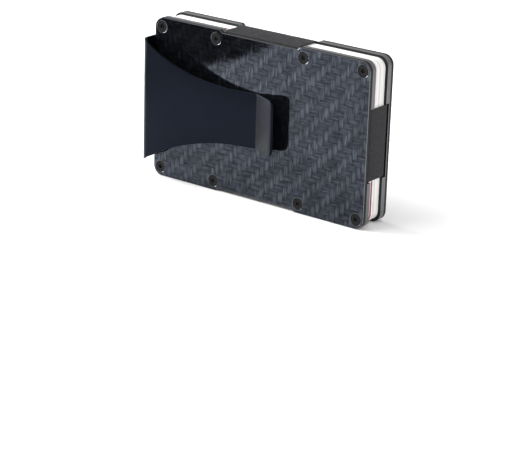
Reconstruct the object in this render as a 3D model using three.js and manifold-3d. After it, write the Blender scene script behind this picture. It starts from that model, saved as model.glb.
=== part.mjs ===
// Card holder with a money clip: two screwed plate pairs squeeze a stack of cards between them,
// pulled together by a wide elastic band and an end band, with a sprung steel clip on the front.
// Millimetres, +Z up. The holder stands on a long edge: X is its length, Y its thickness with
// the clip on the -Y side, and the cards slide out at the -X end.
import * as THREE from "three";
import { mergeVertices } from "three/addons/utils/BufferGeometryUtils.js";
import Module from "manifold-3d";

const wasm = await Module();
wasm.setup();

// Plates.
const PLATE_LENGTH = 87;
const PLATE_HEIGHT = 55.5;
const PLATE_CORNER = 3.4;
const OUTER_THICKNESS = 1.38;
const INNER_THICKNESS = 1.9;
const END_RELIEF = 1.3; // how far the inner plates step back where the end band crosses them
const SEAM = 0.02; // running gap between two flat faces that are screwed together

// Cards.
const CARD_LENGTH = 85.6;
const CARD_HEIGHT = 53.98;
const CARD_THICKNESS = 0.76;
const CARD_CORNER = 3.18;
const CARD_COUNT = 8;
const CARD_SPACE = 6.6; // between the inner plates

// Elastic.
const WIDE_BAND = 30;
const END_BAND = 24;
const BAND_THICKNESS = 0.65;
const BAND_POCKET = 0.9; // depth of the pocket that holds a band behind the outer plate
const BAND_SIDE_GAP = 0.3;
const EDGE_RECESS = 0.9; // how far the long edges step back where the wide band crosses them

// Screws.
const SCREW_END_INSET = 2.9;
const SCREW_EDGE_INSET = 3.2;
const SCREW_MIDDLE_X = 17.6;
const SCREW_HEAD_RADIUS = 1.95;
const SCREW_HEAD_HEIGHT = 0.75;
const SCREW_HEAD_SUNK = 0.08;
const SCREW_SHANK_RADIUS = 0.95;
const SCREW_LENGTH = 3.0;
const SCREW_CLEARANCE = 0.06;
const SOCKET_ACROSS_FLATS = 1.5;
const SOCKET_DEPTH = 0.6;

// Money clip: one bent strip of spring steel, split where the fold meets the leaf.
const CLIP_THICKNESS = 0.8;
const CLIP_WIDTH = 42.2;
const CLIP_WAIST = 18.7;
const CLIP_WAIST_X = -5;
const CLIP_BASE_END_X = -23;
const CLIP_FOLD_X = -43.25;
const CLIP_ROOT_RADIUS = 0.85; // the fold's tight bend by the plate, to the middle of the strip
const CLIP_FOLD_FLAT = 4.3; // straight stretch between the fold's two bends
const CLIP_FOLD_RADIUS = 2.8; // the fold's open bend, where the leaf begins
const CLIP_BOW_RADIUS = 100; // the leaf's gentle curve back towards the plate
const CLIP_LEAF_SLOPE = 9.7; // degrees that the leaf falls towards the plate after the bow
const CLIP_BEND_X = 0; // where the leaf nearly meets the plate and turns out again
const CLIP_LIP_LENGTH = 10.0;
const CLIP_LIP_FLARE = 24.5; // degrees
const CLIP_LIP_CORNER = 2.0;
const CLIP_POCKET = 0.94;
const CLIP_SIDE_GAP = 0.3;
const CLIP_SPLIT_GAP = 0.12;

// Thumb notch in the back outer plate, and the bent steel tab that shows in it.
const NOTCH_WIDTH = 28.4;
const NOTCH_DEPTH = 4.4;
const NOTCH_CORNER = 1.4;
const TAB_WIDTH = 25.6;
const TAB_THICKNESS = 0.6;
const TAB_ROOT_X = -30;
const TAB_BEND_X = -39.9;
const TAB_RISE = 38.5; // degrees
const TAB_LENGTH = 8.5;
const TAB_CORNER = 0.6;
const TAB_SHOULDER_X = -40.3; // where the tab widens from its hidden root
const TAB_SHOULDER_CORNER = 2.0;
const TAB_POCKET = 0.8;

// Worked out from the sizes above.
const MID_Z = PLATE_HEIGHT / 2;
const HALF_LENGTH = PLATE_LENGTH / 2;
const INNER_FACE = CARD_SPACE / 2;
const INNER_BACK = INNER_FACE + INNER_THICKNESS;
const OUTER_BACK = INNER_BACK + SEAM;
const OUTER_FACE = OUTER_BACK + OUTER_THICKNESS;
const BAND_OUT = INNER_BACK - (BAND_POCKET - BAND_THICKNESS) / 2;
const BAND_IN = BAND_OUT - BAND_THICKNESS;
const BAND_END_GAP = 0.05; // between a band and the plates' outer edge line or the cards' ends
const ARC_STEPS = 6;
const ROUND_STEPS = 20;

const MATERIALS = {
  carbon: { color: 0x33363b, roughness: 0.3, metalness: 0.0 },
  inner: { color: 0x4a4c50, roughness: 0.45, metalness: 0.8 },
  screw: { color: 0x141416, roughness: 0.4, metalness: 0.7 },
  clip: { color: 0x2a2f38, roughness: 0.35, metalness: 0.9 },
  tab: { color: 0xc8c8cc, roughness: 0.3, metalness: 1.0 },
  elastic: { color: 0x161618, roughness: 0.9, metalness: 0.0 },
  card_white: { color: 0xf2eff0, roughness: 0.4, metalness: 0.0 },
  card_red: { color: 0x5c1018, roughness: 0.4, metalness: 0.0 },
  card_tan: { color: 0xb9a69c, roughness: 0.4, metalness: 0.0 },
};
for (const [name, settings] of Object.entries(MATERIALS)) {
  MATERIALS[name] = new THREE.MeshStandardMaterial(settings);
}

const holder = new THREE.Group(); // origin at the middle of the underside of the whole object
const assembly = new THREE.Group(); // origin at the middle of the plates' lower edge
holder.add(assembly);

function toSolid(geometry) {
  const bare = geometry.clone();
  bare.deleteAttribute("normal");
  bare.deleteAttribute("uv");
  const merged = mergeVertices(bare, 1e-4);
  return new wasm.Manifold(
    new wasm.Mesh({
      numProp: 3,
      vertProperties: merged.attributes.position.array,
      triVerts: new Uint32Array(merged.index.array),
    }),
  );
}

function addPiece(name, solid, material) {
  const made = solid.getMesh();
  const geometry = new THREE.BufferGeometry();
  geometry.setAttribute("position", new THREE.BufferAttribute(made.vertProperties, 3));
  geometry.setIndex(new THREE.BufferAttribute(made.triVerts, 1));
  geometry.computeVertexNormals();
  const mesh = new THREE.Mesh(geometry, MATERIALS[material]);
  mesh.name = name;
  assembly.add(mesh);
}

// A block between two corners.
function block(low, high) {
  const size = high.map((value, i) => value - low[i]);
  const centre = high.map((value, i) => (value + low[i]) / 2);
  return toSolid(new THREE.BoxGeometry(...size).translate(...centre));
}

// An outline in X and Z, made solid between two Y values.
function slabXZ(shape, yLow, yHigh) {
  const geometry = new THREE.ExtrudeGeometry(shape, {
    depth: yHigh - yLow,
    bevelEnabled: false,
    curveSegments: ARC_STEPS,
  });
  return toSolid(geometry.rotateX(Math.PI / 2).translate(0, yHigh, 0));
}

// An outline in X and Y, made solid between two Z values.
function slabXY(shape, zLow, zHigh) {
  const geometry = new THREE.ExtrudeGeometry(shape, {
    depth: zHigh - zLow,
    bevelEnabled: false,
    curveSegments: ARC_STEPS,
  });
  return toSolid(geometry.translate(0, 0, zLow));
}

// A rod along Y from yStart, longer towards +Y.
function rodY(x, z, radius, yStart, length, sides = ROUND_STEPS) {
  const geometry = new THREE.CylinderGeometry(radius, radius, length, sides);
  return toSolid(geometry.translate(x, yStart + length / 2, z));
}

// A rectangle with round corners between two corners.
function roundedRectangle(left, low, right, high, radius) {
  const shape = new THREE.Shape();
  shape.absarc(right - radius, low + radius, radius, -Math.PI / 2, 0);
  shape.absarc(right - radius, high - radius, radius, 0, Math.PI / 2);
  shape.absarc(left + radius, high - radius, radius, Math.PI / 2, Math.PI);
  shape.absarc(left + radius, low + radius, radius, Math.PI, 1.5 * Math.PI);
  return shape;
}

// A plate's outline: round corners, and both long edges stepped back in the middle.
function plateOutline() {
  const high = PLATE_HEIGHT;
  const radius = PLATE_CORNER;
  const step = EDGE_RECESS;
  const recess = WIDE_BAND / 2 + BAND_SIDE_GAP;
  const cornerX = HALF_LENGTH - radius;
  const shape = new THREE.Shape();
  shape.moveTo(-recess - step, 0);
  shape.lineTo(-recess, step);
  shape.lineTo(recess, step);
  shape.lineTo(recess + step, 0);
  shape.absarc(cornerX, radius, radius, -Math.PI / 2, 0);
  shape.absarc(cornerX, high - radius, radius, 0, Math.PI / 2);
  shape.lineTo(recess + step, high);
  shape.lineTo(recess, high - step);
  shape.lineTo(-recess, high - step);
  shape.lineTo(-recess - step, high);
  shape.absarc(-cornerX, high - radius, radius, Math.PI / 2, Math.PI);
  shape.absarc(-cornerX, radius, radius, Math.PI, 1.5 * Math.PI);
  return shape;
}

// The eight screw places on a plate, from the lower row to the upper one.
function screwPlaces() {
  const endX = HALF_LENGTH - SCREW_END_INSET;
  const columns = [-endX, -SCREW_MIDDLE_X, SCREW_MIDDLE_X, endX];
  const rows = [SCREW_EDGE_INSET, PLATE_HEIGHT - SCREW_EDGE_INSET];
  return rows.flatMap((z) => columns.map((x) => [x, z]));
}

// The same thing on the front (side -1) or the back (side 1) of the holder.
function between(side, near, far) {
  return side < 0 ? [-far, -near] : [near, far];
}

function outerPlate(side) {
  const [yLow, yHigh] = between(side, OUTER_BACK, OUTER_FACE);
  let plate = slabXZ(plateOutline(), yLow, yHigh);
  for (const [x, z] of screwPlaces()) {
    const bore = rodY(x, z, SCREW_SHANK_RADIUS + SCREW_CLEARANCE, yLow - 1, OUTER_THICKNESS + 2);
    const seatDepth = SCREW_HEAD_HEIGHT + SCREW_HEAD_SUNK + SCREW_CLEARANCE;
    const [seatLow, seatHigh] = between(side, OUTER_FACE - seatDepth, OUTER_FACE + 1);
    const seat = rodY(x, z, SCREW_HEAD_RADIUS + SCREW_CLEARANCE, seatLow, seatHigh - seatLow);
    plate = plate.subtract(bore).subtract(seat);
  }
  return plate;
}

function innerPlate(side) {
  const [yLow, yHigh] = between(side, INNER_FACE, INNER_BACK);
  let plate = slabXZ(plateOutline(), yLow, yHigh);
  for (const [x, z] of screwPlaces()) {
    const radius = SCREW_SHANK_RADIUS + SCREW_CLEARANCE;
    plate = plate.subtract(rodY(x, z, radius, yLow - 1, INNER_THICKNESS + 2));
  }
  const wide = WIDE_BAND / 2 + BAND_SIDE_GAP;
  const end = END_BAND / 2 + BAND_SIDE_GAP;
  const [pocketLow, pocketHigh] = between(side, INNER_BACK - BAND_POCKET, INNER_BACK + 1);
  const wideChannel = block([-wide, pocketLow, -1], [wide, pocketHigh, PLATE_HEIGHT + 1]);
  const endChannel = block(
    [wide - 1, pocketLow, MID_Z - end],
    [HALF_LENGTH + 1, pocketHigh, MID_Z + end],
  );
  const endRelief = block(
    [HALF_LENGTH - END_RELIEF, yLow - 1, MID_Z - end],
    [HALF_LENGTH + 1, yHigh + 1, MID_Z + end],
  );
  return plate.subtract(wideChannel).subtract(endChannel).subtract(endRelief);
}

function screw(side, x, z) {
  const headTop = OUTER_FACE - SCREW_HEAD_SUNK;
  const headUnder = headTop - SCREW_HEAD_HEIGHT;
  const [headLow, headHigh] = between(side, headUnder, headTop);
  const [shankLow, shankHigh] = between(side, headTop - SCREW_LENGTH, headUnder + 0.1);
  const [socketLow, socketHigh] = between(side, headTop - SOCKET_DEPTH, headTop + 1);
  const head = rodY(x, z, SCREW_HEAD_RADIUS, headLow, headHigh - headLow);
  const shank = rodY(x, z, SCREW_SHANK_RADIUS, shankLow, shankHigh - shankLow, 12);
  const socketRadius = SOCKET_ACROSS_FLATS / 2 / Math.cos(Math.PI / 6);
  const socket = rodY(x, z, socketRadius, socketLow, socketHigh - socketLow, 6);
  return head.add(shank).subtract(socket);
}

// Both edges of a strip of even thickness along a path in X and Y: [x, y, heading] samples.
function stripOutline(samples, thickness) {
  const half = thickness / 2;
  const edge = (side) => ([x, y, heading]) =>
    new THREE.Vector2(x - side * half * Math.sin(heading), y + side * half * Math.cos(heading));
  const left = samples.map(edge(1));
  const right = samples.map(edge(-1)).reverse();
  return new THREE.Shape([...left, ...right]);
}

// Follows a path of straight and bent stretches: each is {length} or {radius, turn} in degrees.
function followPath(start, heading, stretches) {
  const samples = [[start[0], start[1], heading]];
  let [x, y] = start;
  for (const { length, radius, turn } of stretches) {
    if (length !== undefined) {
      x += length * Math.cos(heading);
      y += length * Math.sin(heading);
      samples.push([x, y, heading]);
      continue;
    }
    const sweep = THREE.MathUtils.degToRad(turn);
    const steps = Math.max(4, Math.ceil(Math.abs(turn) / 12));
    const step = sweep / steps;
    for (let i = 0; i < steps; i += 1) {
      const chord = 2 * radius * Math.sin(Math.abs(step) / 2);
      x += chord * Math.cos(heading + step / 2);
      y += chord * Math.sin(heading + step / 2);
      heading += step;
      samples.push([x, y, heading]);
    }
  }
  return samples;
}

// The clip's outline seen from the front: wide at the fold, a waist, and a lip with round corners.
function clipOutline(tipX) {
  const halfWide = CLIP_WIDTH / 2;
  const halfWaist = CLIP_WAIST / 2;
  const reach = CLIP_WAIST_X - CLIP_FOLD_X;
  const rise = halfWide - halfWaist;
  const radius = (reach * reach + rise * rise) / (2 * rise);
  const sweep = Math.asin(reach / radius);
  const corner = CLIP_LIP_CORNER;
  const low = MID_Z - halfWaist;
  const high = MID_Z + halfWaist;
  const quarter = Math.PI / 2;
  const shape = new THREE.Shape();
  shape.moveTo(CLIP_FOLD_X - 10, MID_Z - halfWide);
  shape.lineTo(CLIP_FOLD_X, MID_Z - halfWide);
  shape.absarc(CLIP_WAIST_X, low - radius, radius, quarter + sweep, quarter, true);
  shape.absarc(tipX - corner, low + corner, corner, -quarter, 0);
  shape.absarc(tipX - corner, high - corner, corner, 0, quarter);
  shape.absarc(CLIP_WAIST_X, high + radius, radius, -quarter, -quarter - sweep, true);
  shape.lineTo(CLIP_FOLD_X - 10, MID_Z + halfWide);
  return shape;
}

// The tab's outline seen from behind: a narrower root, round shoulders and nearly square ends.
function tabOutline(endX) {
  const low = MID_Z - TAB_WIDTH / 2;
  const high = MID_Z + TAB_WIDTH / 2;
  const round = TAB_SHOULDER_CORNER;
  const corner = TAB_CORNER;
  const shape = new THREE.Shape();
  shape.absarc(TAB_SHOULDER_X - round, low + round, round, -Math.PI / 2, 0);
  shape.lineTo(TAB_ROOT_X, low + round);
  shape.lineTo(TAB_ROOT_X, high - round);
  shape.absarc(TAB_SHOULDER_X - round, high - round, round, 0, Math.PI / 2);
  shape.absarc(endX + corner, high - corner, corner, Math.PI / 2, Math.PI);
  shape.absarc(endX + corner, low + corner, corner, Math.PI, 1.5 * Math.PI);
  return shape;
}

// The strip's path from its base end, round the fold and along the leaf to the lip.
function clipPaths() {
  const base = followPath([CLIP_BASE_END_X, CLIP_POCKET / 2 - INNER_BACK], Math.PI, [
    { length: CLIP_BASE_END_X - CLIP_FOLD_X },
    { radius: CLIP_ROOT_RADIUS, turn: 90 },
    { length: CLIP_FOLD_FLAT },
    { radius: CLIP_FOLD_RADIUS, turn: 90 },
  ]);
  const [splitX, splitY, heading] = base[base.length - 1];
  const leafStart = [
    splitX + CLIP_SPLIT_GAP * Math.cos(heading),
    splitY + CLIP_SPLIT_GAP * Math.sin(heading),
  ];
  const bow = [{ radius: CLIP_BOW_RADIUS, turn: CLIP_LEAF_SLOPE }];
  const bowed = followPath(leafStart, heading, bow);
  const slope = THREE.MathUtils.degToRad(CLIP_LEAF_SLOPE);
  const flat = (CLIP_BEND_X - bowed[bowed.length - 1][0]) / Math.cos(slope);
  const leaf = followPath(leafStart, heading, [
    ...bow,
    { length: flat },
    { radius: 1, turn: -CLIP_LEAF_SLOPE - CLIP_LIP_FLARE },
    { length: CLIP_LIP_LENGTH },
  ]);
  return { base, leaf };
}

function clipPieces() {
  const { base, leaf } = clipPaths();
  const low = MID_Z - CLIP_WIDTH / 2;
  const high = MID_Z + CLIP_WIDTH / 2;
  const tipX = Math.max(...leaf.map(([x]) => x));
  const front = slabXZ(clipOutline(tipX), -OUTER_FACE - 20, 0);
  // Behind the middle of the fold the strip keeps its full width.
  const foldMiddleY = base[0][1] - CLIP_ROOT_RADIUS - CLIP_FOLD_FLAT / 2;
  const behind = block([-HALF_LENGTH - 10, foldMiddleY, low], [0, 0, high]);
  return {
    base: slabXY(stripOutline(base, CLIP_THICKNESS), low, high).intersect(front.add(behind)),
    leaf: slabXY(stripOutline(leaf, CLIP_THICKNESS), low, high).intersect(front),
  };
}

function tabPiece() {
  const y = INNER_BACK - TAB_POCKET / 2;
  const path = followPath([TAB_ROOT_X, y], Math.PI, [
    { length: TAB_ROOT_X - TAB_BEND_X },
    { radius: 1, turn: -TAB_RISE },
    { length: TAB_LENGTH },
  ]);
  const endX = Math.min(...path.map(([x]) => x));
  const low = MID_Z - TAB_WIDTH / 2;
  const high = MID_Z + TAB_WIDTH / 2;
  const strip = slabXY(stripOutline(path, TAB_THICKNESS), low, high);
  return strip.intersect(slabXZ(tabOutline(endX), 0, OUTER_FACE + 20));
}

// A band's closed loop or open U, as the space between two round-cornered outlines.
function wideBand() {
  const outer = roundedRectangle(-BAND_OUT, BAND_END_GAP, BAND_OUT, PLATE_HEIGHT - BAND_END_GAP, 1);
  const low = BAND_END_GAP + BAND_THICKNESS;
  outer.holes.push(roundedRectangle(-BAND_IN, low, BAND_IN, PLATE_HEIGHT - low, 0.4));
  const geometry = new THREE.ExtrudeGeometry(outer, {
    depth: WIDE_BAND,
    bevelEnabled: false,
    curveSegments: ARC_STEPS,
  });
  // The outline's two directions become Y and Z, and its depth becomes X.
  geometry.rotateX(Math.PI / 2).rotateZ(Math.PI / 2).translate(-WIDE_BAND / 2, 0, 0);
  return toSolid(geometry);
}

function endBand() {
  const start = WIDE_BAND / 2 + BAND_SIDE_GAP;
  const out = HALF_LENGTH - 0.2;
  const outline = roundedRectangle(start - 10, -BAND_OUT, out, BAND_OUT, 1);
  const hollow = roundedRectangle(start - 20, -BAND_IN, out - BAND_THICKNESS, BAND_IN, 0.4);
  const low = MID_Z - END_BAND / 2;
  const high = MID_Z + END_BAND / 2;
  const loop = slabXY(outline, low, high).subtract(slabXY(hollow, low - 1, high + 1));
  return loop.subtract(block([start - 30, -20, low - 1], [start, 20, high + 1]));
}

function buildPlates() {
  for (const [side, name] of [
    [-1, "front"],
    [1, "back"],
  ]) {
    let outer = outerPlate(side);
    let inner = innerPlate(side);
    if (side < 0) {
      const pocket = block(
        [-HALF_LENGTH - 1, -INNER_BACK - 1, MID_Z - CLIP_WIDTH / 2 - CLIP_SIDE_GAP],
        [CLIP_BASE_END_X + CLIP_SIDE_GAP, CLIP_POCKET - INNER_BACK, MID_Z + CLIP_WIDTH / 2 + CLIP_SIDE_GAP],
      );
      inner = inner.subtract(pocket);
    } else {
      const halfNotch = NOTCH_WIDTH / 2;
      const notch = roundedRectangle(
        -HALF_LENGTH - 10,
        MID_Z - halfNotch,
        -HALF_LENGTH + NOTCH_DEPTH,
        MID_Z + halfNotch,
        NOTCH_CORNER,
      );
      const pocket = block(
        [-HALF_LENGTH - 1, INNER_BACK - TAB_POCKET, MID_Z - TAB_WIDTH / 2 - BAND_SIDE_GAP],
        [TAB_ROOT_X + BAND_SIDE_GAP, INNER_BACK + 1, MID_Z + TAB_WIDTH / 2 + BAND_SIDE_GAP],
      );
      outer = outer.subtract(slabXZ(notch, 0, OUTER_FACE + 1));
      inner = inner.subtract(pocket);
    }
    addPiece(`${name}_outer_plate`, outer, "carbon");
    addPiece(`${name}_inner_plate`, inner, "inner");
    screwPlaces().forEach(([x, z], i) => {
      addPiece(`${name}_screw_${i + 1}`, screw(side, x, z), "screw");
    });
  }
}

function buildCards() {
  const colours = [
    "card_white",
    "card_white",
    "card_red",
    "card_white",
    "card_tan",
    "card_white",
    "card_white",
    "card_white",
  ];
  const gap = (CARD_SPACE - CARD_COUNT * CARD_THICKNESS) / (CARD_COUNT + 1);
  const right = HALF_LENGTH - 0.2 - BAND_THICKNESS - BAND_END_GAP;
  const low = MID_Z - CARD_HEIGHT / 2;
  const high = MID_Z + CARD_HEIGHT / 2;
  const outline = roundedRectangle(right - CARD_LENGTH, low, right, high, CARD_CORNER);
  for (let i = 0; i < CARD_COUNT; i += 1) {
    const yLow = -INNER_FACE + gap + i * (CARD_THICKNESS + gap);
    addPiece(`card_${i + 1}`, slabXZ(outline, yLow, yLow + CARD_THICKNESS), colours[i]);
  }
}

buildPlates();
buildCards();
const clip = clipPieces();
addPiece("clip_base", clip.base, "clip");
addPiece("clip_leaf", clip.leaf, "clip");
addPiece("thumb_tab", tabPiece(), "tab");
addPiece("wide_elastic", wideBand(), "elastic");
addPiece("end_elastic", endBand(), "elastic");

// The whole object's box is centred on the origin, with its underside at height 0.
const bounds = new THREE.Box3().setFromObject(assembly);
const centre = bounds.getCenter(new THREE.Vector3());
assembly.position.set(-centre.x, -centre.y, -bounds.min.z);

export default holder;
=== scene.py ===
import math

import bmesh
import bpy
from mathutils import Matrix, Vector


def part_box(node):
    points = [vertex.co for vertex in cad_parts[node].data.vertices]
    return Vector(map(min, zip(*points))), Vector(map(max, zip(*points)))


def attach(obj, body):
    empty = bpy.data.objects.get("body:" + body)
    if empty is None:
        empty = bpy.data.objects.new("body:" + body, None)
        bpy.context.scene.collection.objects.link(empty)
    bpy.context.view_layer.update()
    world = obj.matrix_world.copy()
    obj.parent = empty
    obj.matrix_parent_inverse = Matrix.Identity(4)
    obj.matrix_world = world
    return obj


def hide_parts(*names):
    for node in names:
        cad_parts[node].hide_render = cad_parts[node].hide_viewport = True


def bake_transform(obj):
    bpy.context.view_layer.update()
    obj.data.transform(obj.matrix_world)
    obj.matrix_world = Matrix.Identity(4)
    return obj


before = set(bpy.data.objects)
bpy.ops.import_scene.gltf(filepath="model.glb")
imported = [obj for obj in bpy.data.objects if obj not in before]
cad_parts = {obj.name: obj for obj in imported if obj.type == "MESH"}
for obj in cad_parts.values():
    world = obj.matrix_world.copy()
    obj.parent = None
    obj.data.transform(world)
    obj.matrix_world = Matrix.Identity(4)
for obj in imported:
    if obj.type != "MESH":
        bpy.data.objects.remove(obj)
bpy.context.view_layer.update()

MM = 0.001

# Meshes. Angles among these constants are in degrees.
WELD_DISTANCE = 2e-6
FLAT_ANGLE = 2
SHARP_ANGLE = 35
BEVEL_SEGMENTS = 2
PLATE_SMOOTH_ANGLE = 12

# Plates.
PLATE_CORNER = 3.4 * MM
EDGE_RECESS = 0.9 * MM
RECESS_HALF = 15.3 * MM
PLATE_CHAMFER = 0.16 * MM
LINER_BEVEL = 0.18 * MM
SCREW_END_INSET = 2.9 * MM
SCREW_EDGE_INSET = 3.2 * MM
SCREW_MIDDLE = 17.64 * MM
SCREW_SEAT = 2.01 * MM
SCREW_SEAT_SIDES = 48
NOTCH_DEPTH = 4.4 * MM
NOTCH_WIDTH = 28.4 * MM
NOTCH_CORNER = 1.4 * MM
NOTCH_CORNER_STEPS = 6

# Screws: radii and heights. The socket's radius is the one to its corners.
SCREW_HEAD = 1.95 * MM
SCREW_HEAD_HEIGHT = 0.75 * MM
SCREW_RIM = 0.22 * MM
SCREW_RIM_FALL = 0.02 * MM
SCREW_DISH = 0.05 * MM
SCREW_SHANK = 0.95 * MM
SCREW_LENGTH = 3.0 * MM
SCREW_TIP = 0.2 * MM
SCREW_SIDES = 36
SOCKET_RADIUS = 0.87 * MM
SOCKET_DEPTH = 0.6 * MM
SOCKET_CONE = 0.12 * MM
SOCKET_LEAD = 0.06 * MM
SOCKET_FLARE = 0.07 * MM
SOCKET_CORNERS = 6

# Money clip, the same strip as the CAD's two pieces.
CLIP_THICKNESS = 0.8 * MM
CLIP_WIDTH = 42.2 * MM
CLIP_WAIST = 18.7 * MM
CLIP_WAIST_X = -5 * MM
CLIP_BASE_END_X = -23 * MM
CLIP_BASE_Y = -4.73 * MM
CLIP_FOLD_X = -43.25 * MM
CLIP_ROOT_RADIUS = 0.85 * MM
CLIP_FOLD_FLAT = 4.3 * MM
CLIP_FOLD_RADIUS = 2.8 * MM
CLIP_BOW_RADIUS = 100 * MM
CLIP_LEAF_SLOPE = 9.7
CLIP_BEND_X = 0.0
CLIP_LIP_RADIUS = 1 * MM
CLIP_LIP_LENGTH = 10.0 * MM
CLIP_LIP_FLARE = 24.5
CLIP_LIP_CORNER = 2.0 * MM
CLIP_EDGE_ROUND = 0.14 * MM
CLIP_EDGE_STEPS = 4
CLIP_SAMPLE_STEP = 1.2 * MM
CLIP_SAMPLE_ANGLE = 3.0
CLIP_TIP_SAMPLES = 2
CLIP_TIP_STEPS = 14

# Tab, elastic bands and cards.
TAB_BEVEL = 0.12 * MM
ELASTIC_THICKNESS = 0.65 * MM
ELASTIC_INSET = ELASTIC_THICKNESS / 2
ELASTIC_CORNER = 0.7 * MM
ELASTIC_CORNER_STEPS = 5
RIB_RADIUS = 0.29 * MM
RIB_PITCH = 0.5 * MM
STITCH_PITCH = 0.42 * MM
CARD_BEVEL = 0.07 * MM

# Studio. Each lamp's name, place, aim, size and power.
FLOOR_HALF = 4.0
FLOOR_Z = -0.1 * MM
FLAG_X = -0.242
FLAG_Y = -0.146
FLAG_Z = 0.2 * MM
FLAG_HALF_X = 0.13
FLAG_HALF_Y = 0.11
FLAG_CORNERS = 32
WORLD_STRENGTH = 0.75
LAMPS = [
    ("key", (-0.5, -0.5, 0.9), (0, 0, 0.02), (0.8, 0.8), 9.0),
    ("side", (-0.55, -0.1, 0.2), (-0.06, 0, 0.02), (0.5, 0.36), 7.0),
    ("fill", (0.9, -0.3, 0.6), (0, 0, 0.02), (0.6, 0.6), 3.0),
]

# Camera. It aims at a point beside and below the plates' middle.
CAMERA_AZIMUTH = 36.29
CAMERA_ELEVATION = 20.19
CAMERA_ROLL = 1.91
CAMERA_DISTANCE = 0.6540
CAMERA_AIM_X = 0.28 * MM
CAMERA_AIM_DROP = 41.33 * MM
CAMERA_LENS = 131.55
CAMERA_SENSOR = 36.0

# Numbers of sockets that share their name with others on the same node.
MIX_COLOUR_A = 6
MIX_COLOUR_B = 7
MIX_COLOUR_RESULT = 2
RANDOM_FLOAT_MIN = 2
RANDOM_FLOAT_MAX = 3
RANDOM_FLOAT_VALUE = 1

# Colours that several surfaces share.
# Painted glints and shade of the carbon weave: warp tows get a brighter tint than weft tows of the
# same carbon, and every tow darkens at its edges.
WARP_SHEEN = (0.071, 0.079, 0.098)
WEFT_SHEEN = (0.052, 0.058, 0.074)
TOW_EDGE_SHADE = (0.004, 0.005, 0.007)
# Painted highlight: the grey that the plates' chamfers are given.
CHAMFER_HIGHLIGHT_GREY = (0.140, 0.147, 0.160)
CUT_EDGE_BLACK = (0.004, 0.004, 0.0045)


# ---------------------------------------------------------------- places

front_low, front_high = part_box("front_outer_plate")
back_low, back_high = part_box("back_outer_plate")
PLATE_X = (front_low.x + front_high.x) / 2
PLATE_Y = (front_low.y + back_high.y) / 2
PLATE_HALF = (front_high.x - front_low.x) / 2
PLATE_TOP = front_high.z
MID_Z = PLATE_TOP / 2
# The striped card's line: where it meets the top edge, and how far it falls for its length in X.
STRIPE_TOP_X = PLATE_X - 10 * MM
STRIPE_FALL = 0.763


# ---------------------------------------------------------------- shader values

class Value:
    """A shader socket that takes part in arithmetic: each operation adds a Math node."""

    def __init__(self, finish, socket):
        self.finish = finish
        self.socket = socket

    def math(self, operation, *others):
        values = dict(enumerate((self, *others)))
        return self.finish.add("ShaderNodeMath", {"operation": operation}, values)

    def __add__(self, other):
        return self.math("ADD", other)

    def __sub__(self, other):
        return self.math("SUBTRACT", other)

    def __mul__(self, other):
        return self.math("MULTIPLY", other)

    def __truediv__(self, other):
        return self.math("DIVIDE", other)

    def __rsub__(self, other):
        return self.math("MULTIPLY_ADD", -1.0, other)

    def __lt__(self, other):
        return self.math("LESS_THAN", other)

    def __gt__(self, other):
        return self.math("GREATER_THAN", other)

    def __mod__(self, other):
        return self.math("FLOORED_MODULO", other)

    __radd__ = __add__

    def floor(self):
        return self.math("FLOOR")

    def abs(self):
        return self.math("ABSOLUTE")

    def power(self, exponent):
        return self.math("POWER", exponent)

    def clamp(self):
        return self.finish.add("ShaderNodeClamp", {}, {0: self})


class Finish:
    """One procedural material under construction."""

    def __init__(self, name):
        self.material = bpy.data.materials.new(name)
        self.material.use_nodes = True
        self.tree = self.material.node_tree
        self.tree.nodes.clear()
        self.output = self.tree.nodes.new("ShaderNodeOutputMaterial")
        self.place = self.add("ShaderNodeTexCoord", {}, {}, "Object")
        split = self.add("ShaderNodeSeparateXYZ", {}, {0: self.place}, None)
        self.x, self.y, self.z = (Value(self, socket) for socket in split.outputs)

    def add(self, kind, settings, values, output=0):
        """A new node: its settings first, then its sockets by name or number.

        Gives one output, or the node itself when output is None.
        """
        node = self.tree.nodes.new(kind)
        for name, setting in settings.items():
            if name == "stops":
                self.set_stops(node, setting)
            else:
                setattr(node, name, setting)
        for key, value in values.items():
            socket = node.inputs[key]
            if isinstance(value, Value):
                self.tree.links.new(value.socket, socket)
            else:
                socket.default_value = value
        return node if output is None else Value(self, node.outputs[output])

    @staticmethod
    def set_stops(node, stops):
        elements = node.color_ramp.elements
        while len(elements) < len(stops):
            elements.new(1.0)
        for element, (position, colour) in zip(elements, stops):
            element.position = position
            element.color = (*colour, 1.0)

    def ramp(self, factor, stops):
        return self.add("ShaderNodeValToRGB", {"stops": stops}, {0: factor})

    def mix(self, factor, a, b):
        """Colour a where the factor is 0, b where it is 1."""
        wide = [c if isinstance(c, Value) else (*c, 1.0) for c in (a, b)]
        values = {"Factor": factor, MIX_COLOUR_A: wide[0], MIX_COLOUR_B: wide[1]}
        return self.add("ShaderNodeMix", {"data_type": "RGBA"}, values, MIX_COLOUR_RESULT)

    def noise(self, scale, stretch=(1, 1, 1), detail=2.0, roughness=0.5):
        scaled = self.add("ShaderNodeMapping", {}, {"Vector": self.place, "Scale": stretch})
        values = {"Vector": scaled, "Scale": scale, "Detail": detail, "Roughness": roughness}
        return self.add("ShaderNodeTexNoise", {}, values)

    def bump(self, height, distance, strength=1.0):
        values = {"Height": height, "Distance": distance, "Strength": strength}
        return self.add("ShaderNodeBump", {}, values)

    def done(self, **values):
        """Ends the material in a Principled surface with these sockets."""
        named = {name.replace("_", " "): value for name, value in values.items()}
        surface = self.add("ShaderNodeBsdfPrincipled", {}, named)
        self.tree.links.new(surface.socket, self.output.inputs["Surface"])
        return self.material


def facing_y(finish):
    """How squarely a surface faces along the holder's thickness: 1 on a plate's broad faces."""
    normal = finish.add("ShaderNodeNewGeometry", {}, {}, "Normal")
    return finish.add("ShaderNodeSeparateXYZ", {}, {0: normal}, 1).abs()


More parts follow.
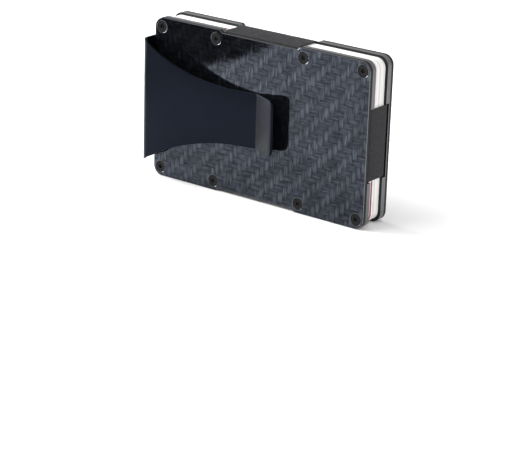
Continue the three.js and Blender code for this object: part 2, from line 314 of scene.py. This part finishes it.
def carbon_twill(name, pitch, lean):
    """Polished 2 x 2 twill of flat tows. lean is 1 or -1: which way its ribs climb.

    The weave tints what the broad face mirrors. The chamfer is plain grey, a painted highlight line
    along the edges; the cut edge is dull black.
    """
    repeat = 4.0
    f = Finish(name)
    across = f.x * (lean / pitch)
    up = f.z / pitch
    column, row = across.floor(), up.floor()
    # Each run goes from 0 to 1 where its tow lies on top, and from 1 to 2 where it lies below.
    warp_run = (column - up + 1.0) % repeat * 0.5
    weft_run = (across - row - 2.0) % repeat * 0.5
    warp_on_top = warp_run < 1.0
    in_column = across - column
    in_row = up - row

    def crown(position):
        """0 at a tow's two edges, 1 at its middle."""
        return position * (1.0 - position) * 4.0

    def streaks(stretch):
        """Fine fibres, longest in the direction where the stretch is least."""
        return ((f.noise(1.0, stretch, 3.0, 0.65) - 0.5) * 3.0 + 0.5).clamp()

    warp_height = crown(in_column).power(0.35) * 0.5 + crown(warp_run.clamp()).power(0.6) * 0.5
    weft_height = crown(in_row).power(0.35) * 0.5 + crown(weft_run.clamp()).power(0.6) * 0.5
    height = warp_on_top * warp_height + (1.0 - warp_on_top) * weft_height
    warp_fibres = streaks((2100, 2100, 190))
    weft_fibres = streaks((190, 2100, 2100))
    cloud = f.noise(150.0, detail=2.0)
    # Painted glints and shade: each tow is brightest at its crown and darkens towards its edges and
    # where it dips under the next. This is multiplied by real fibre streaks and random tone.
    warp_shade = height * (0.2 + warp_fibres * 0.9) * (0.5 + cloud)
    weft_shade = height * (0.2 + weft_fibres * 0.9) * (0.5 + cloud)
    warp_colour = f.ramp(warp_shade, [(0.0, TOW_EDGE_SHADE), (1.0, WARP_SHEEN)])
    weft_colour = f.ramp(weft_shade, [(0.0, TOW_EDGE_SHADE), (1.0, WEFT_SHEEN)])
    weave = f.mix(warp_on_top, weft_colour, warp_colour)
    fibres = warp_on_top * warp_fibres + (1.0 - warp_on_top) * weft_fibres
    flatness = facing_y(f)
    # The chamfers take a flat grey brighter than the weave: a painted highlight line.
    chamfer = f.mix(flatness > 0.95, CHAMFER_HIGHLIGHT_GREY, weave)
    polished = flatness > 0.3
    return f.done(
        Base_Color=f.mix(polished, CUT_EDGE_BLACK, chamfer),
        Metallic=polished * 0.88,
        Roughness=0.62 - polished * (0.58 - fibres * 0.04),
        Normal=f.bump(height + fibres * 0.12, 0.00004, 0.04),
        Specular_IOR_Level=0.3,
    )


def liner_metal(name):
    """Satin edges, brushed along the plate, and black broad faces."""
    f = Finish(name)
    grain = f.noise(1.0, (2500, 2500, 2500), 3.0)
    brushed = f.noise(1.0, (220, 5200, 220), 4.0)
    cloud = f.noise(120.0)
    broad = facing_y(f) > 0.6
    satin = f.ramp(brushed, [(0.25, (0.13, 0.133, 0.14)), (0.75, (0.21, 0.213, 0.22))])
    black = f.ramp(cloud, [(0.3, (0.006, 0.0062, 0.007)), (0.7, (0.010, 0.0103, 0.0112))])
    return f.done(
        Base_Color=f.mix(broad, satin, black),
        Metallic=1.0 - broad,
        Roughness=0.36 + grain * 0.14,
        Normal=f.bump(grain + brushed * 0.6, 0.00001, 0.3),
        Specular_IOR_Level=0.25,
    )


def black_oxide(name):
    """Satin black steel of the screws."""
    f = Finish(name)
    grain = f.noise(1.0, (3500, 3500, 3500), 3.0)
    colour = f.ramp(grain, [(0.2, (0.003, 0.003, 0.0035)), (0.8, (0.008, 0.008, 0.009))])
    return f.done(
        Base_Color=colour,
        Metallic=0.2,
        Roughness=0.27 + grain * 0.15,
        Normal=f.bump(grain, 0.00001, 0.3),
        Specular_IOR_Level=0.18,
    )


def satin_clip(name):
    """Dark blue-grey coating over spring steel, with a faint brushed grain along the strip."""
    f = Finish(name)
    brushed = f.noise(1.0, (260, 260, 5200), 4.0)
    speckle = f.noise(1.0, (6000, 6000, 6000), 2.0)
    cloud = f.noise(40.0)
    shade = brushed * 0.5 + cloud * 0.5
    colour = f.ramp(shade, [(0.25, (0.0075, 0.0092, 0.0145)), (0.75, (0.0105, 0.0126, 0.0190))])
    return f.done(
        Base_Color=colour,
        Metallic=1.0,
        Roughness=0.26 + speckle * 0.1,
        Normal=f.bump(speckle + brushed * 0.5, 0.000006, 0.4),
    )


def satin_tab(name):
    """Bright steel with a brushed grain along the tab's length."""
    f = Finish(name)
    brushed = f.noise(1.0, (300, 300, 6000), 4.0)
    cloud = f.noise(60.0)
    colour = f.ramp(cloud, [(0.3, (0.60, 0.60, 0.61)), (0.7, (0.68, 0.68, 0.69))])
    return f.done(
        Base_Color=colour,
        Metallic=1.0,
        Roughness=0.3 + brushed * 0.14,
        Normal=f.bump(brushed, 0.000005, 0.4),
    )


def woven_elastic(name):
    """Black thread with short slanted stitches on each rib."""
    f = Finish(name)
    thread = f.noise(1.0, (2000, 2000, 2000), 3.0)
    picks = ((f.x + f.y + f.z) / STITCH_PITCH % 1.0 - 0.5).abs() * 2.0
    shade = thread * 0.6 + picks * 0.4
    colour = f.ramp(shade, [(0.3, (0.003, 0.003, 0.0035)), (0.7, (0.048, 0.048, 0.051))])
    return f.done(
        Base_Color=colour,
        Roughness=0.85,
        Normal=f.bump(shade, 0.00006, 0.7),
        Specular_IOR_Level=0.25,
        Sheen_Weight=0.25,
        Sheen_Roughness=0.4,
        Sheen_Tint=(0.6, 0.6, 0.65, 1.0),
    )


def card_plastic(name, core, face, stripe=None):
    """Laminated card: a printed face each side of a core that shows at the edge.

    A stripe colours everything below a line that falls from the card's top edge to its +X end.
    """
    f = Finish(name)
    speckle = f.noise(1.0, (3000, 3000, 3000), 2.0)
    cloud = f.noise(70.0)
    dull = tuple(c * 0.93 for c in core)
    edge = f.mix(cloud * 0.6 + speckle * 0.4, core, dull)
    if stripe:
        low_side = (f.x - STRIPE_TOP_X) * STRIPE_FALL + (f.z - PLATE_TOP) < 0.0
        edge = f.mix(low_side, edge, stripe)
        face = f.mix(low_side, face, stripe)
    colour = f.mix(facing_y(f) > 0.7, edge, face)
    return f.done(
        Base_Color=colour,
        Roughness=0.32 + speckle * 0.16,
        Normal=f.bump(speckle, 0.000004, 0.3),
        Specular_IOR_Level=0.45,
    )


def pale_floor(name):
    """White paper, a little uneven."""
    f = Finish(name)
    cloud = f.noise(3.0)
    colour = f.ramp(cloud, [(0.3, (0.86, 0.86, 0.86)), (0.7, (0.88, 0.88, 0.88))])
    return f.done(Base_Color=colour, Roughness=0.75, Specular_IOR_Level=0.2)


def black_card(name):
    """Black paper without a shine."""
    f = Finish(name)
    grain = f.noise(400.0)
    colour = f.ramp(grain, [(0.3, (0.001, 0.001, 0.001)), (0.7, (0.002, 0.002, 0.002))])
    return f.done(Base_Color=colour, Roughness=0.9, Specular_IOR_Level=0.0)


# ---------------------------------------------------------------- meshes

def link(name, mesh, material=None, smooth_angle=None):
    """An object at the origin with that mesh and finish."""
    thing = bpy.data.objects.new(name, mesh)
    bpy.context.scene.collection.objects.link(thing)
    if material is not None:
        mesh.materials.clear()
        mesh.materials.append(material)
    if smooth_angle is not None:
        mesh.shade_smooth()
        mesh.set_sharp_from_angle(angle=math.radians(smooth_angle))
    return thing


def final_mesh(thing, name):
    """The thing's evaluated shape as a plain mesh. The thing itself is removed."""
    graph = bpy.context.evaluated_depsgraph_get()
    mesh = bpy.data.meshes.new_from_object(thing.evaluated_get(graph), depsgraph=graph)
    mesh.name = name
    bpy.data.objects.remove(thing)
    return mesh


def merged(mesh):
    """The same mesh, with its doubled corners welded and its faces turned outwards."""
    shape = bmesh.new()
    shape.from_mesh(mesh)
    bmesh.ops.remove_doubles(shape, verts=shape.verts, dist=WELD_DISTANCE)
    bmesh.ops.recalc_face_normals(shape, faces=shape.faces)
    shape.to_mesh(mesh)
    shape.free()
    return mesh


def close_rings(shape, rings):
    """Joins each ring of corners to the next one, and closes the first and the last."""
    for near, far in zip(rings, rings[1:]):
        count = len(near)
        for i in range(count):
            j = (i + 1) % count
            shape.faces.new((near[i], near[j], far[j], far[i]))
    shape.faces.new(rings[0])
    shape.faces.new(list(reversed(rings[-1])))
    bmesh.ops.recalc_face_normals(shape, faces=shape.faces)


def corner_arc(x, z, radius, start, end, steps=10):
    """Points on a round corner from one angle to the other."""
    angles = [math.radians(start + (end - start) * i / steps) for i in range(steps + 1)]
    return [(x + radius * math.cos(a), z + radius * math.sin(a)) for a in angles]


def plate_outline(notched):
    """A plate's outline in X and Z about the plates' middle, anticlockwise from the lower left."""
    half, top, r = PLATE_HALF, PLATE_TOP, PLATE_CORNER
    step = EDGE_RECESS
    inner = RECESS_HALF
    points = corner_arc(-half + r, r, r, 180, 270)
    points += [(-inner - step, 0), (-inner, step), (inner, step), (inner + step, 0)]
    points += corner_arc(half - r, r, r, 270, 360)
    points += corner_arc(half - r, top - r, r, 0, 90)
    points += [(inner + step, top), (inner, top - step), (-inner, top - step), (-inner - step, top)]
    points += corner_arc(-half + r, top - r, r, 90, 180)
    if notched:
        reach = -half + NOTCH_DEPTH
        rise = NOTCH_WIDTH / 2
        n = NOTCH_CORNER
        points += [(-half, MID_Z + rise)]
        points += corner_arc(reach - n, MID_Z + rise - n, n, 90, 0, NOTCH_CORNER_STEPS)
        points += corner_arc(reach - n, MID_Z - rise + n, n, 0, -90, NOTCH_CORNER_STEPS)
        points += [(-half, MID_Z - rise)]
    return points


def screw_places():
    """Each screw's place in X and Z, about the plates' middle in X."""
    end = PLATE_HALF - SCREW_END_INSET
    columns = [-end, -SCREW_MIDDLE, SCREW_MIDDLE, end]
    rows = [SCREW_EDGE_INSET, PLATE_TOP - SCREW_EDGE_INSET]
    return [(x, z) for z in rows for x in columns]


def chamfered_slab(name, outlines, y_low, y_high, chamfer):
    """A flat piece from closed outlines in X and Z (the first is the outside), edges broken."""
    curve = bpy.data.curves.new(name, "CURVE")
    curve.dimensions = "2D"
    curve.fill_mode = "BOTH"
    for points in outlines:
        spline = curve.splines.new("POLY")
        spline.points.add(len(points) - 1)
        for point, (x, z) in zip(spline.points, points):
            point.co = (x, z, 0, 1)
        spline.use_cyclic_u = True
    curve.extrude = (y_high - y_low) / 2 - chamfer
    curve.bevel_depth = chamfer
    curve.bevel_resolution = 1
    curve.offset = -chamfer
    thing = bpy.data.objects.new(name, curve)
    bpy.context.scene.collection.objects.link(thing)
    mesh = final_mesh(thing, name)
    turn = Matrix(((1, 0, 0, PLATE_X), (0, 0, -1, (y_low + y_high) / 2), (0, 1, 0, 0), (0, 0, 0, 1)))
    mesh.transform(turn)
    return merged(mesh)


def bevelled_copy(node, name, width):
    """A CAD node's shape with its sharp edges broken."""
    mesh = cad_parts[node].data.copy()
    mesh.name = name
    merged(mesh)
    shape = bmesh.new()
    shape.from_mesh(mesh)
    flat = math.radians(FLAT_ANGLE)
    bmesh.ops.dissolve_limit(shape, angle_limit=flat, verts=shape.verts, edges=shape.edges)
    shape.to_mesh(mesh)
    shape.free()
    thing = link(name, mesh)
    bevel = thing.modifiers.new("edges", "BEVEL")
    bevel.width = width
    bevel.segments = BEVEL_SEGMENTS
    bevel.limit_method = "ANGLE"
    bevel.angle_limit = math.radians(SHARP_ANGLE)
    bevel.use_clamp_overlap = True
    return final_mesh(thing, name)


# ---------------------------------------------------------------- finishes

FINISHES = {
    "front_carbon": carbon_twill("front_carbon", 1.9 * MM, 1),
    "back_carbon": carbon_twill("back_carbon", 1.0 * MM, -1),
    "inner": liner_metal("liner_metal"),
    "screw": black_oxide("screw_black"),
    "clip": satin_clip("clip_coating"),
    "tab": satin_tab("tab_steel"),
    "elastic": woven_elastic("elastic_thread"),
    "floor": pale_floor("floor_paper"),
}
# Each card's core, printed face, and stripe if it has one.
CARD_COLOURS = [
    ((0.84, 0.72, 0.74), (0.9, 0.88, 0.88), None),
    ((0.84, 0.74, 0.76), (0.86, 0.84, 0.84), None),
    ((0.80, 0.76, 0.76), (0.86, 0.82, 0.83), (0.20, 0.008, 0.022)),
    ((0.86, 0.85, 0.86), (0.88, 0.88, 0.9), None),
    ((0.72, 0.67, 0.62), (0.7, 0.62, 0.5), None),
    ((0.86, 0.86, 0.87), (0.9, 0.9, 0.9), None),
    ((0.84, 0.82, 0.78), (0.88, 0.86, 0.8), None),
    ((0.82, 0.82, 0.82), (0.86, 0.86, 0.86), None),
]


def make_plates():
    last_angle = 360 - 360 / SCREW_SEAT_SIDES
    steps = SCREW_SEAT_SIDES - 1
    seats = [corner_arc(x, z, SCREW_SEAT, 0, last_angle, steps) for x, z in screw_places()]
    for side in ("front", "back"):
        node = f"{side}_outer_plate"
        low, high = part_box(node)
        outlines = [plate_outline(side == "back"), *seats]
        mesh = chamfered_slab(f"{side}_carbon_plate", outlines, low.y, high.y, PLATE_CHAMFER)
        finish = FINISHES[f"{side}_carbon"]
        plate = link(f"{side}_carbon_plate", mesh, finish, PLATE_SMOOTH_ANGLE)
        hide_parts(node)
        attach(plate, f"{side}_half")
        node = f"{side}_inner_plate"
        mesh = bevelled_copy(node, f"{side}_liner_plate", LINER_BEVEL)
        liner = link(f"{side}_liner_plate", mesh, FINISHES["inner"], PLATE_SMOOTH_ANGLE)
        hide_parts(node)
        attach(liner, f"{side}_half")


# ---------------------------------------------------------------- screws

def screw_shape(mesh):
    """A socket screw along +Y, its head's face at Y 0: a turned profile and a six-sided socket."""
    socket = [
        (SOCKET_RADIUS * 0.45, -SOCKET_DEPTH - SOCKET_CONE),
        (SOCKET_RADIUS, -SOCKET_DEPTH),
        (SOCKET_RADIUS, -SCREW_DISH - SOCKET_LEAD),
        (SOCKET_RADIUS + SOCKET_FLARE, -SCREW_DISH),
    ]
    profile = [
        (SCREW_HEAD - SCREW_RIM * 2.2, -SCREW_DISH),
        (SCREW_HEAD - SCREW_RIM * 1.3, 0.0),
        (SCREW_HEAD - SCREW_RIM * 0.5, -SCREW_RIM_FALL),
        (SCREW_HEAD, -SCREW_RIM),
        (SCREW_HEAD, -SCREW_HEAD_HEIGHT),
        (SCREW_SHANK, -SCREW_HEAD_HEIGHT),
        (SCREW_SHANK, -SCREW_LENGTH + SCREW_TIP),
        (SCREW_SHANK - SCREW_TIP, -SCREW_LENGTH),
    ]
    shape = bmesh.new()

    def ring(radius, y, corners=None):
        made = []
        for i in range(SCREW_SIDES):
            a = 2 * math.pi * i / SCREW_SIDES
            r = radius
            if corners:
                span = 2 * math.pi / corners
                r = radius * math.cos(span / 2) / math.cos((a % span) - span / 2)
            made.append(shape.verts.new((r * math.cos(a), y, r * math.sin(a))))
        return made

    rings = [ring(radius, y, SOCKET_CORNERS) for radius, y in socket]
    rings += [ring(radius, y) for radius, y in profile]
    close_rings(shape, rings)
    shape.to_mesh(mesh)
    shape.free()


def node_group(name, sizes):
    """An empty Geometry Nodes tree with a geometry input and named inputs for its sizes."""
    tree = bpy.data.node_groups.new(name, "GeometryNodeTree")
    tree.interface.new_socket("Geometry", in_out="INPUT", socket_type="NodeSocketGeometry")
    for label, kind in sizes:
        tree.interface.new_socket(label, in_out="INPUT", socket_type=kind)
    tree.interface.new_socket("Geometry", in_out="OUTPUT", socket_type="NodeSocketGeometry")
    return tree


def tree_node(tree, kind, settings=None, **sockets):
    """A node of a Geometry Nodes tree; sockets are values, or outputs of other nodes."""
    node = tree.nodes.new(kind)
    for name, setting in (settings or {}).items():
        setattr(node, name, setting)
    for name, value in sockets.items():
        socket = node.inputs[name.replace("_", " ")]
        if isinstance(value, bpy.types.NodeSocket):
            tree.links.new(value, socket)
        else:
            socket.default_value = value
    return node


def run_tree(thing, tree, inputs, name):
    """Runs a tree on a thing with its inputs set by identifier, and gives the plain mesh."""
    modifier = thing.modifiers.new("nodes", "NODES")
    modifier.node_group = tree
    identifiers = {
        item.name: item.identifier
        for item in tree.interface.items_tree
        if item.item_type == "SOCKET" and item.in_out == "INPUT"
    }
    for label, value in inputs.items():
        modifier[identifiers[label]] = value
    return final_mesh(thing, name)


def screw_tree():
    """A copy of one screw on each point, each with its socket turned another way."""
    tree = node_group("screws_on_points", [
        ("Screw", "NodeSocketObject"), ("Finish", "NodeSocketMaterial"), ("Seed", "NodeSocketInt"),
    ])
    start = tree.nodes.new("NodeGroupInput")
    screw = tree_node(tree, "GeometryNodeObjectInfo", Object=start.outputs["Screw"])
    turn = tree_node(tree, "FunctionNodeRandomValue", {"data_type": "FLOAT"})
    turn.inputs[RANDOM_FLOAT_MIN].default_value = 0.0
    turn.inputs[RANDOM_FLOAT_MAX].default_value = math.pi / 3
    tree.links.new(start.outputs["Seed"], turn.inputs["Seed"])
    angles = tree_node(tree, "ShaderNodeCombineXYZ", Y=turn.outputs[RANDOM_FLOAT_VALUE])
    placed = tree_node(
        tree, "GeometryNodeInstanceOnPoints", Points=start.outputs["Geometry"],
        Instance=screw.outputs["Geometry"], Rotation=angles.outputs[0])
    real = tree_node(tree, "GeometryNodeRealizeInstances", Geometry=placed.outputs[0])
    painted = tree_node(
        tree, "GeometryNodeSetMaterial", Geometry=real.outputs[0], Material=start.outputs["Finish"])
    end = tree.nodes.new("NodeGroupOutput")
    tree.links.new(painted.outputs[0], end.inputs[0])
    return tree


def make_screws():
    """Eight screws in each half, all from one pattern. The front's are turned to face forwards."""
    mesh = bpy.data.meshes.new("screw_pattern")
    screw_shape(mesh)
    pattern = link("screw_pattern", mesh)
    tree = screw_tree()
    for side, facing, seed in (("front", -1, 3), ("back", 1, 8)):
        low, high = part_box(f"{side}_screw_1")
        face = low.y if facing < 0 else high.y
        points = bpy.data.meshes.new(f"{side}_screw_places")
        points.from_pydata([(facing * x, 0, z) for x, z in screw_places()], [], [])
        holder = link(f"{side}_screw_places", points)
        inputs = {"Screw": pattern, "Finish": FINISHES["screw"], "Seed": seed}
        mesh = run_tree(holder, tree, inputs, f"{side}_screws")
        turn = Matrix.Rotation(math.pi if facing < 0 else 0.0, 4, "Z")
        mesh.transform(Matrix.Translation((PLATE_X, face, 0)) @ turn)
        screws = link(f"{side}_screws", mesh, smooth_angle=30)
        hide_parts(*[f"{side}_screw_{i}" for i in range(1, 9)])
        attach(screws, f"{side}_half")
    bpy.data.objects.remove(pattern)


# ---------------------------------------------------------------- money clip

def bend_path(start, heading, stretches):
    """Samples (x, y, heading) along straights (length, 0) and bends (radius, degrees)."""
    x, y = start
    samples = [(x, y, heading)]
    for size, turn in stretches:
        if turn == 0:
            count = max(2, round(size / CLIP_SAMPLE_STEP))
            for _ in range(count):
                x += size / count * math.cos(heading)
                y += size / count * math.sin(heading)
                samples.append((x, y, heading))
            continue
        count = max(4, math.ceil(abs(turn) / CLIP_SAMPLE_ANGLE))
        step = math.radians(turn) / count
        chord = 2 * size * math.sin(abs(step) / 2)
        for _ in range(count):
            x += chord * math.cos(heading + step / 2)
            y += chord * math.sin(heading + step / 2)
            heading += step
            samples.append((x, y, heading))
    return samples


def clip_half_width(x, tip_x):
    """Half the strip's width at x: a long curve in from the fold, then even, then round corners."""
    wide, waist = CLIP_WIDTH / 2, CLIP_WAIST / 2
    reach = CLIP_WAIST_X - CLIP_FOLD_X
    rise = wide - waist
    radius = (reach * reach + rise * rise) / (2 * rise)
    if x <= CLIP_FOLD_X:
        return wide
    if x <= CLIP_WAIST_X:
        return waist + radius - math.sqrt(radius * radius - (CLIP_WAIST_X - x) ** 2)
    short = x - (tip_x - CLIP_LIP_CORNER)
    if short > 0:
        inside = max(0.0, CLIP_LIP_CORNER ** 2 - short ** 2)
        return waist - CLIP_LIP_CORNER + math.sqrt(inside)
    return waist


def clip_sections():
    """(x, y, heading, half width) along the whole strip, about the plates' middle."""
    base = [
        (CLIP_BASE_END_X - CLIP_FOLD_X, 0), (CLIP_ROOT_RADIUS, 90),
        (CLIP_FOLD_FLAT, 0), (CLIP_FOLD_RADIUS, 90),
    ]
    bow = [(CLIP_BOW_RADIUS, CLIP_LEAF_SLOPE)]
    start = (CLIP_BASE_END_X, CLIP_BASE_Y)
    bowed = bend_path(start, math.pi, base + bow)
    flat = (CLIP_BEND_X - bowed[-1][0]) / math.cos(math.radians(CLIP_LEAF_SLOPE))
    lip_turn = -CLIP_LEAF_SLOPE - CLIP_LIP_FLARE
    lip = [(flat, 0), (CLIP_LIP_RADIUS, lip_turn), (CLIP_LIP_LENGTH, 0)]
    path = bend_path(start, math.pi, base + bow + lip)
    on_base = round((CLIP_BASE_END_X - CLIP_FOLD_X) / CLIP_SAMPLE_STEP)
    tip_x, tip_y = path[-1][:2]
    # The tip's round corners take closer sections, closest of all at the very end.
    path = path[:-CLIP_TIP_SAMPLES]
    x, y, heading = path[-1]
    for i in range(1, CLIP_TIP_STEPS + 1):
        share = math.sin(math.pi / 2 * i / CLIP_TIP_STEPS)
        path.append((x + (tip_x - x) * share, y + (tip_y - y) * share, heading))
    sections = []
    for i, (x, y, heading) in enumerate(path):
        wide = CLIP_WIDTH / 2 if i <= on_base else clip_half_width(x, tip_x)
        sections.append((x, y, heading, wide))
    return sections


def make_clip():
    """One strip: a round-edged section carried along the path, closed at both ends."""
    half, r = CLIP_THICKNESS / 2, CLIP_EDGE_ROUND
    edge_step = 90 / (CLIP_EDGE_STEPS - 1)
    shape = bmesh.new()
    rings = []
    for x, y, heading, wide in clip_sections():
        across = Vector((-math.sin(heading), math.cos(heading), 0))
        middle = Vector((PLATE_X + x, PLATE_Y + y, MID_Z))
        ring = []
        for side_z, side_n, first in ((1, 1, 90), (-1, 1, 0), (-1, -1, 270), (1, -1, 180)):
            corner = Vector((side_n * (half - r), side_z * (wide - r)))
            for step in range(CLIP_EDGE_STEPS):
                a = math.radians(first - edge_step * step)
                n = corner.x + r * math.cos(a)
                z = corner.y + r * math.sin(a)
                ring.append(shape.verts.new(middle + across * n + Vector((0, 0, z))))
        rings.append(ring)
    close_rings(shape, rings)
    mesh = bpy.data.meshes.new("money_clip")
    shape.to_mesh(mesh)
    shape.free()
    clip = link("money_clip", mesh, FINISHES["clip"], smooth_angle=40)
    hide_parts("clip_base", "clip_leaf")
    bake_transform(clip)


# ---------------------------------------------------------------- tab

def make_tab():
    mesh = bevelled_copy("thumb_tab", "bent_tab", TAB_BEVEL)
    tab = link("bent_tab", mesh, FINISHES["tab"], smooth_angle=30)
    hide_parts("thumb_tab")
    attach(tab, "back_half")


# ---------------------------------------------------------------- elastic

def rib_tree():
    """Ribs side by side: a thin round bead along the path, repeated across the band."""
    tree = node_group("ribs_across_band", [
        ("Count", "NodeSocketInt"), ("Step", "NodeSocketVector"), ("Bead", "NodeSocketFloat"),
        ("Finish", "NodeSocketMaterial"),
    ])
    start = tree.nodes.new("NodeGroupInput")
    path = tree_node(tree, "GeometryNodeMeshToCurve", Mesh=start.outputs["Geometry"])
    round_bead = tree_node(
        tree, "GeometryNodeCurvePrimitiveCircle", {"mode": "RADIUS"},
        Resolution=8, Radius=start.outputs["Bead"])
    bead = tree_node(
        tree, "GeometryNodeCurveToMesh", Curve=path.outputs[0],
        Profile_Curve=round_bead.outputs[0], Fill_Caps=True)
    places = tree_node(
        tree, "GeometryNodeMeshLine", {"mode": "OFFSET"},
        Count=start.outputs["Count"], Offset=start.outputs["Step"])
    placed = tree_node(
        tree, "GeometryNodeInstanceOnPoints", Points=places.outputs[0], Instance=bead.outputs[0])
    real = tree_node(tree, "GeometryNodeRealizeInstances", Geometry=placed.outputs[0])
    painted = tree_node(
        tree, "GeometryNodeSetMaterial", Geometry=real.outputs[0], Material=start.outputs["Finish"])
    end = tree.nodes.new("NodeGroupOutput")
    tree.links.new(painted.outputs[0], end.inputs[0])
    return tree


def wide_band_path(low, high):
    """The closed loop of the wide band's first rib, round both long edges."""
    r, steps = ELASTIC_CORNER, ELASTIC_CORNER_STEPS
    front, back = low.y + ELASTIC_INSET + r, high.y - ELASTIC_INSET - r
    bottom, top = low.z + ELASTIC_INSET + r, high.z - ELASTIC_INSET - r
    loop = corner_arc(back, top, r, 0, 90, steps)
    loop += corner_arc(front, top, r, 90, 180, steps)
    loop += corner_arc(front, bottom, r, 180, 270, steps)
    loop += corner_arc(back, bottom, r, 270, 360, steps)
    return [(low.x + RIB_RADIUS, y, z) for y, z in loop]


def end_band_path(low, high):
    """The open loop of the end band's first rib, round the short end."""
    r, steps = ELASTIC_CORNER, ELASTIC_CORNER_STEPS
    front, back = low.y + ELASTIC_INSET, high.y - ELASTIC_INSET
    end = high.x - ELASTIC_INSET - r
    loop = [(low.x + RIB_RADIUS, back)]
    loop += corner_arc(end, back - r, r, 90, 0, steps)
    loop += corner_arc(end, front + r, r, 0, -90, steps)
    loop += [(low.x + RIB_RADIUS, front)]
    return [(x, y, low.z + RIB_RADIUS) for x, y in loop]


def make_elastics():
    tree = rib_tree()
    for node in ("wide_elastic", "end_elastic"):
        low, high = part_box(node)
        wide = node == "wide_elastic"
        points = wide_band_path(low, high) if wide else end_band_path(low, high)
        edges = [(i, i + 1) for i in range(len(points) - 1)]
        if wide:
            edges.append((len(points) - 1, 0))
        width = high.x - low.x if wide else high.z - low.z
        count = round((width - 2 * RIB_RADIUS) / RIB_PITCH)
        pitch = (width - 2 * RIB_RADIUS) / count
        step = (pitch, 0, 0) if wide else (0, 0, pitch)
        path = bpy.data.meshes.new(f"{node}_path")
        path.from_pydata(points, edges, [])
        holder = link(f"{node}_path", path)
        thread = FINISHES["elastic"]
        inputs = {"Count": count + 1, "Step": step, "Bead": RIB_RADIUS, "Finish": thread}
        mesh = run_tree(holder, tree, inputs, f"{node}_band")
        band = link(f"{node}_band", mesh, smooth_angle=50)
        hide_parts(node)
        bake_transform(band)


# ---------------------------------------------------------------- cards

def make_cards():
    for i, (core, face, stripe) in enumerate(CARD_COLOURS, 1):
        node = f"card_{i}"
        mesh = bevelled_copy(node, f"plastic_card_{i}", CARD_BEVEL)
        finish = card_plastic(f"card_{i}_plastic", core, face, stripe)
        card = link(f"plastic_card_{i}", mesh, finish, smooth_angle=30)
        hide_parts(node)
        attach(card, f"card_{i}_body")


# ---------------------------------------------------------------- studio

def area_light(name, place, aim, size, power):
    """A white rectangular lamp at a place, turned to its aim."""
    data = bpy.data.lights.new(name, "AREA")
    data.shape = "RECTANGLE"
    data.size, data.size_y = size
    data.energy = power
    lamp = bpy.data.objects.new(name, data)
    lamp.location = place
    lamp.rotation_mode = "QUATERNION"
    lamp.rotation_quaternion = (Vector(aim) - Vector(place)).to_track_quat("-Z", "Y")
    bpy.context.scene.collection.objects.link(lamp)


def make_floor():
    half, z = FLOOR_HALF, FLOOR_Z
    mesh = bpy.data.meshes.new("floor")
    corners = [(-half, -half, z), (half, -half, z), (half, half, z), (-half, half, z)]
    mesh.from_pydata(corners, [], [(0, 1, 2, 3)])
    floor = link("floor", mesh, FINISHES["floor"])


def make_flag():
    """An oval black card on the floor that only reflections see: it darkens the front's corner."""
    mesh = bpy.data.meshes.new("flag")
    angles = [2 * math.pi * i / FLAG_CORNERS for i in range(FLAG_CORNERS)]
    rim = [
        (FLAG_X + FLAG_HALF_X * math.cos(a), FLAG_Y + FLAG_HALF_Y * math.sin(a), FLAG_Z)
        for a in angles
    ]
    mesh.from_pydata(rim, [], [tuple(range(FLAG_CORNERS))])
    flag = link("flag", mesh, black_card("flag_card"))
    flag.visible_camera = False
    flag.visible_diffuse = False
    flag.visible_shadow = False


def make_studio():
    scene = bpy.context.scene
    scene.view_settings.view_transform = "Standard"
    make_floor()
    make_flag()
    world = bpy.data.worlds.new("studio")
    scene.world = world
    world.use_nodes = True
    background = world.node_tree.nodes["Background"]
    background.inputs["Color"].default_value = (1.0, 1.0, 1.0, 1.0)
    background.inputs["Strength"].default_value = WORLD_STRENGTH
    for lamp in LAMPS:
        area_light(*lamp)


def make_camera():
    azimuth = math.radians(CAMERA_AZIMUTH)
    elevation = math.radians(CAMERA_ELEVATION)
    roll = math.radians(CAMERA_ROLL)
    target = Vector((PLATE_X + CAMERA_AIM_X, PLATE_Y, MID_Z - CAMERA_AIM_DROP))
    flat = math.cos(elevation)
    back = Vector((math.sin(azimuth) * flat, -math.cos(azimuth) * flat, math.sin(elevation)))
    right = Vector((math.cos(azimuth), math.sin(azimuth), 0))
    up = back.cross(right)
    image_right = right * math.cos(roll) + up * math.sin(roll)
    image_up = up * math.cos(roll) - right * math.sin(roll)
    data = bpy.data.cameras.new("camera")
    data.sensor_width = CAMERA_SENSOR
    data.lens = CAMERA_LENS
    data.clip_start, data.clip_end = 0.01, 30.0
    camera = bpy.data.objects.new("camera", data)
    basis = Matrix((image_right, image_up, back)).transposed()
    camera.matrix_world = Matrix.Translation(target + back * CAMERA_DISTANCE) @ basis.to_4x4()
    bpy.context.scene.collection.objects.link(camera)
    bpy.context.scene.camera = camera


make_camera()
make_studio()
make_plates()
make_screws()
make_clip()
make_tab()
make_elastics()
make_cards()
